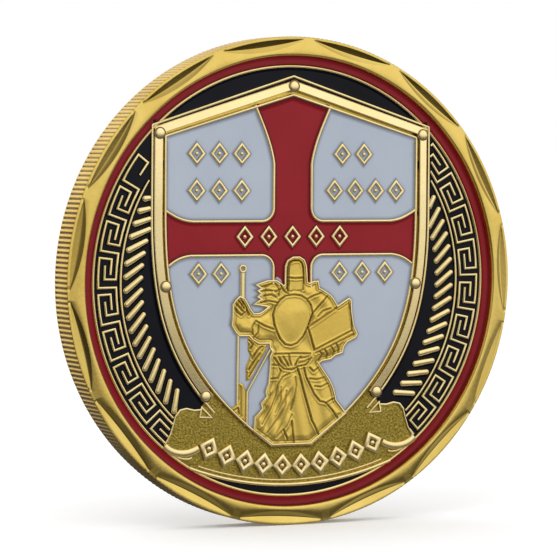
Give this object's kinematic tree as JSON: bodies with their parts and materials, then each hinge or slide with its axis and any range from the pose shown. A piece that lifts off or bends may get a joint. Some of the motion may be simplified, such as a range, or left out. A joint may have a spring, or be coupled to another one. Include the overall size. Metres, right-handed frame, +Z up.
{
  "type": "challenge coin",
  "caption": "Round struck metal coin with a reeded edge, scalloped rims and coloured enamel cells round a cross shield, an armoured figure, key pattern bands and a ribbon",
  "frame": {"origin": "lowest point of the reeded edge, halfway through the thickness, with the coin standing on its edge", "axes": "-Y is the way the design face looks, +Y the way the other face looks, +Z is up through the shield's point, +X is to the right of someone looking at the design face"},
  "size_m": [0.04, 0.003, 0.04],
  "materials": {
    "gold": "satin gold plating with polished lines",
    "red_enamel": "glossy",
    "black_enamel": "glossy",
    "white_enamel": "glossy"
  },
  "bodies": {
    "root": {"coin_body": "gold", "front_red_ring": "red_enamel", "front_black_top": "black_enamel", "front_black_keys_left": "black_enamel", "front_black_keys_right": "black_enamel", "front_black_rope_left": "black_enamel", "front_black_rope_right": "black_enamel", "front_black_foot": "black_enamel", "front_white_upper_left": "white_enamel", "front_white_upper_right": "white_enamel", "front_white_lower_left": "white_enamel", "front_white_lower_right": "white_enamel", "front_white_pool": "white_enamel", "front_red_cross": "red_enamel", "back_red_ring": "red_enamel", "back_black_ring": "black_enamel", "back_white_panel": "white_enamel"}
  },
  "joints": []
}
